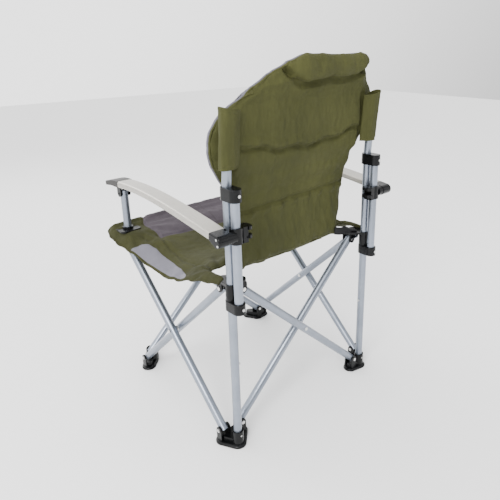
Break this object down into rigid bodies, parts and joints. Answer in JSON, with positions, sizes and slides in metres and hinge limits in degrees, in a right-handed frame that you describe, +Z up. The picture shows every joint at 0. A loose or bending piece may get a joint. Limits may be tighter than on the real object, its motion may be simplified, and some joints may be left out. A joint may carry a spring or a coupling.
{
  "type": "folding camp chair",
  "caption": "Folding camp chair: crossed steel tubes, sliding corner hubs, hinged aluminium armrests, sling seat and padded back.",
  "frame": {"origin": "centre of the footprint, on the ground under the soles", "axes": "+Z up, front towards -Y, the sitter's left is +X"},
  "size_m": [0.6252, 0.6022, 0.978],
  "materials": {
    "tube_steel": "satin silver-grey enamel",
    "bright_steel": "zinc plated",
    "black_plastic": "moulded, semi-gloss",
    "arm_aluminium": "anodised, satin champagne",
    "back_fabric": "woven polyester, olive",
    "seat_fabric": "woven polyester, olive with a grey centre"
  },
  "bodies": {
    "rear_left_leg": {"foot_rear_left": "black_plastic", "rear_post_left": "tube_steel", "rail_left": "tube_steel", "lower_bracket_left": "black_plastic", "upper_bracket_left": "black_plastic", "post_fasteners_left": "bright_steel", "back_sleeve_left": "back_fabric", "back_panel": "back_fabric"},
    "rear_right_leg": {"foot_rear_right": "black_plastic", "rear_post_right": "tube_steel", "rail_right": "tube_steel", "lower_bracket_right": "black_plastic", "upper_bracket_right": "black_plastic", "post_fasteners_right": "bright_steel", "back_sleeve_right": "back_fabric"},
    "rear_tube_ahead_strut": {"rear_tube_ahead": "tube_steel", "rear_tube_ahead_rivets": "bright_steel"},
    "rear_tube_behind_strut": {"rear_tube_behind": "tube_steel", "rear_tube_behind_rivets": "bright_steel"},
    "front_tube_ahead_strut": {"front_tube_ahead": "tube_steel", "front_tube_ahead_rivets": "bright_steel"},
    "front_tube_behind_strut": {"front_tube_behind": "tube_steel", "front_tube_behind_rivets": "bright_steel"},
    "side_tube_left_outer_strut": {"side_tube_left_outer": "tube_steel", "side_tube_left_outer_rivets": "bright_steel"},
    "side_tube_left_inner_strut": {"side_tube_left_inner": "tube_steel", "side_tube_left_inner_rivets": "bright_steel"},
    "rear_left_hub": {"rear_hub_left": "black_plastic"},
    "front_left_hub": {"front_hub_left": "black_plastic", "arm_post_left": "tube_steel", "corner_plate_left": "black_plastic"},
    "front_left_foot": {"foot_front_left": "black_plastic"},
    "left_seat": {"seat_left": "seat_fabric"},
    "left_clamp": {"rail_clamp_left": "black_plastic"},
    "left_latch": {"latch_lever_left": "black_plastic"},
    "left_arm": {"armrest_left": "arm_aluminium", "arm_front_cap_left": "black_plastic", "arm_rear_cap_left": "black_plastic", "arm_fasteners_left": "bright_steel"},
    "left_shoe": {"arm_shoe_left": "black_plastic"},
    "side_tube_right_outer_strut": {"side_tube_right_outer": "tube_steel", "side_tube_right_outer_rivets": "bright_steel"},
    "side_tube_right_inner_strut": {"side_tube_right_inner": "tube_steel", "side_tube_right_inner_rivets": "bright_steel"},
    "rear_right_hub": {"rear_hub_right": "black_plastic"},
    "front_right_hub": {"front_hub_right": "black_plastic", "arm_post_right": "tube_steel", "corner_plate_right": "black_plastic"},
    "front_right_foot": {"foot_front_right": "black_plastic"},
    "right_seat": {"seat_right": "seat_fabric"},
    "right_clamp": {"rail_clamp_right": "black_plastic"},
    "right_latch": {"latch_lever_right": "black_plastic"},
    "right_arm": {"armrest_right": "arm_aluminium", "arm_front_cap_right": "black_plastic", "arm_rear_cap_right": "black_plastic", "arm_fasteners_right": "bright_steel"},
    "right_shoe": {"arm_shoe_right": "black_plastic"}
  },
  "joints": [
    {"name": "fold", "type": "hinge", "parent": "rear_left_leg", "child": "rear_tube_ahead_strut", "pos_m": [0.219, 0.22, 0.04], "axis": [0, 1, 0], "range_deg": [0, 36], "deforming": ["back_panel", "seat_left", "seat_right"]},
    {"name": "rear_cross", "type": "hinge", "parent": "rear_tube_ahead_strut", "child": "rear_tube_behind_strut", "pos_m": [0, 0.2328, 0.2435], "axis": [0, 1, 0], "range_deg": [-72.05, 0]},
    {"name": "rear_right_leg_turn", "type": "hinge", "parent": "rear_tube_behind_strut", "child": "rear_right_leg", "pos_m": [-0.219, 0.2456, 0.04], "axis": [0, 1, 0], "range_deg": [0, 36.05]},
    {"name": "rear_left_hub_turn", "type": "hinge", "parent": "rear_tube_behind_strut", "child": "rear_left_hub", "pos_m": [0.219, 0.2456, 0.447], "axis": [0, 1, 0], "range_deg": [0, 36.05]},
    {"name": "rear_right_hub_turn", "type": "hinge", "parent": "rear_tube_ahead_strut", "child": "rear_right_hub", "pos_m": [-0.219, 0.22, 0.447], "axis": [0, 1, 0], "range_deg": [-36.05, 0]},
    {"name": "left_side_foot", "type": "hinge", "parent": "rear_left_leg", "child": "side_tube_left_outer_strut", "pos_m": [0.2692, 0.2155, 0.04], "axis": [1, 0, 0], "range_deg": [-36.05, 0]},
    {"name": "left_side_cross", "type": "hinge", "parent": "side_tube_left_outer_strut", "child": "side_tube_left_inner_strut", "pos_m": [0.2564, -0.0035, 0.2435], "axis": [1, 0, 0], "range_deg": [0, 72.05]},
    {"name": "front_left_foot_turn", "type": "hinge", "parent": "side_tube_left_inner_strut", "child": "front_left_foot", "pos_m": [0.2436, -0.2225, 0.04], "axis": [1, 0, 0], "range_deg": [-36.05, 0]},
    {"name": "front_left_hub_turn", "type": "hinge", "parent": "side_tube_left_outer_strut", "child": "front_left_hub", "pos_m": [0.2692, -0.2225, 0.447], "axis": [1, 0, 0], "range_deg": [0, 36.05]},
    {"name": "right_side_foot", "type": "hinge", "parent": "rear_right_leg", "child": "side_tube_right_outer_strut", "pos_m": [-0.2692, 0.2155, 0.04], "axis": [1, 0, 0], "range_deg": [-36.05, 0]},
    {"name": "right_side_cross", "type": "hinge", "parent": "side_tube_right_outer_strut", "child": "side_tube_right_inner_strut", "pos_m": [-0.2564, -0.0035, 0.2435], "axis": [1, 0, 0], "range_deg": [0, 72.05]},
    {"name": "front_right_foot_turn", "type": "hinge", "parent": "side_tube_right_inner_strut", "child": "front_right_foot", "pos_m": [-0.2436, -0.2225, 0.04], "axis": [1, 0, 0], "range_deg": [-36.05, 0]},
    {"name": "front_right_hub_turn", "type": "hinge", "parent": "side_tube_right_outer_strut", "child": "front_right_hub", "pos_m": [-0.2692, -0.2225, 0.447], "axis": [1, 0, 0], "range_deg": [0, 36.05]},
    {"name": "front_foot_pivot", "type": "hinge", "parent": "front_left_foot", "child": "front_tube_ahead_strut", "pos_m": [0.219, -0.2468, 0.04], "axis": [0, 1, 0], "range_deg": [0, 36.05]},
    {"name": "front_cross", "type": "hinge", "parent": "front_tube_ahead_strut", "child": "front_tube_behind_strut", "pos_m": [0, -0.234, 0.2435], "axis": [0, 1, 0], "range_deg": [-72.05, 0]},
    {"name": "seat_left_fold", "type": "hinge", "parent": "rear_left_hub", "child": "left_seat", "pos_m": [0.219, 0.2155, 0.472], "axis": [0, 1, 0], "range_deg": [-74.81, 0]},
    {"name": "seat_right_fold", "type": "hinge", "parent": "rear_right_hub", "child": "right_seat", "pos_m": [-0.219, 0.2155, 0.472], "axis": [0, 1, 0], "range_deg": [0, 74.81]},
    {"name": "left_clamp_slide", "type": "slide", "parent": "rear_left_leg", "child": "left_clamp", "axis": [0, 0, -1], "range_m": [0, 0.1482]},
    {"name": "left_arm_hinge", "type": "hinge", "parent": "left_clamp", "child": "left_arm", "pos_m": [0.288, 0.286, 0.6], "axis": [-1, 0, 0], "range_deg": [0, 59.75]},
    {"name": "left_arm_shoe_turn", "type": "hinge", "parent": "front_left_hub", "child": "left_shoe", "pos_m": [0.263, -0.2225, 0.598], "axis": [-1, 0, 0], "range_deg": [0, 59.75]},
    {"name": "left_latch_squeeze", "type": "hinge", "parent": "left_clamp", "child": "left_latch", "pos_m": [0.229, 0.2802, 0.5935], "axis": [0, 1, 0], "range_deg": [0, 8], "stiffness_Nm_per_rad": 0.5, "springref_deg": -8.59},
    {"name": "right_clamp_slide", "type": "slide", "parent": "rear_right_leg", "child": "right_clamp", "axis": [0, 0, -1], "range_m": [0, 0.1482]},
    {"name": "right_arm_hinge", "type": "hinge", "parent": "right_clamp", "child": "right_arm", "pos_m": [-0.288, 0.286, 0.6], "axis": [-1, 0, 0], "range_deg": [0, 59.75]},
    {"name": "right_arm_shoe_turn", "type": "hinge", "parent": "front_right_hub", "child": "right_shoe", "pos_m": [-0.263, -0.2225, 0.598], "axis": [-1, 0, 0], "range_deg": [0, 59.75]},
    {"name": "right_latch_squeeze", "type": "hinge", "parent": "right_clamp", "child": "right_latch", "pos_m": [-0.229, 0.2802, 0.5935], "axis": [0, -1, 0], "range_deg": [0, 8], "stiffness_Nm_per_rad": 0.5, "springref_deg": -8.59}
  ],
  "couplings": [
    {"joint": "rear_cross", "follows": "fold", "ratio": -2},
    {"joint": "rear_right_leg_turn", "follows": "fold", "ratio": 1},
    {"joint": "rear_left_hub_turn", "follows": "fold", "ratio": 1},
    {"joint": "rear_right_hub_turn", "follows": "fold", "ratio": -1},
    {"joint": "left_side_foot", "follows": "fold", "ratio": -1},
    {"joint": "left_side_cross", "follows": "fold", "ratio": 2},
    {"joint": "front_left_foot_turn", "follows": "fold", "ratio": -1},
    {"joint": "front_left_hub_turn", "follows": "fold", "ratio": 1},
    {"joint": "right_side_foot", "follows": "fold", "ratio": -1},
    {"joint": "right_side_cross", "follows": "fold", "ratio": 2},
    {"joint": "front_right_foot_turn", "follows": "fold", "ratio": -1},
    {"joint": "front_right_hub_turn", "follows": "fold", "ratio": 1},
    {"joint": "front_foot_pivot", "follows": "fold", "ratio": 1},
    {"joint": "front_cross", "follows": "fold", "ratio": -2},
    {"joint": "seat_left_fold", "follows": "fold", "ratio": -2.0767},
    {"joint": "seat_right_fold", "follows": "fold", "ratio": 2.0767},
    {"joint": "left_clamp_slide", "follows": "fold", "m_per_rad": 0.23555},
    {"joint": "left_arm_hinge", "follows": "fold", "ratio": 1.6583},
    {"joint": "left_arm_shoe_turn", "follows": "fold", "ratio": 1.6583},
    {"joint": "right_clamp_slide", "follows": "fold", "m_per_rad": 0.23555},
    {"joint": "right_arm_hinge", "follows": "fold", "ratio": 1.6583},
    {"joint": "right_arm_shoe_turn", "follows": "fold", "ratio": 1.6583}
  ]
}
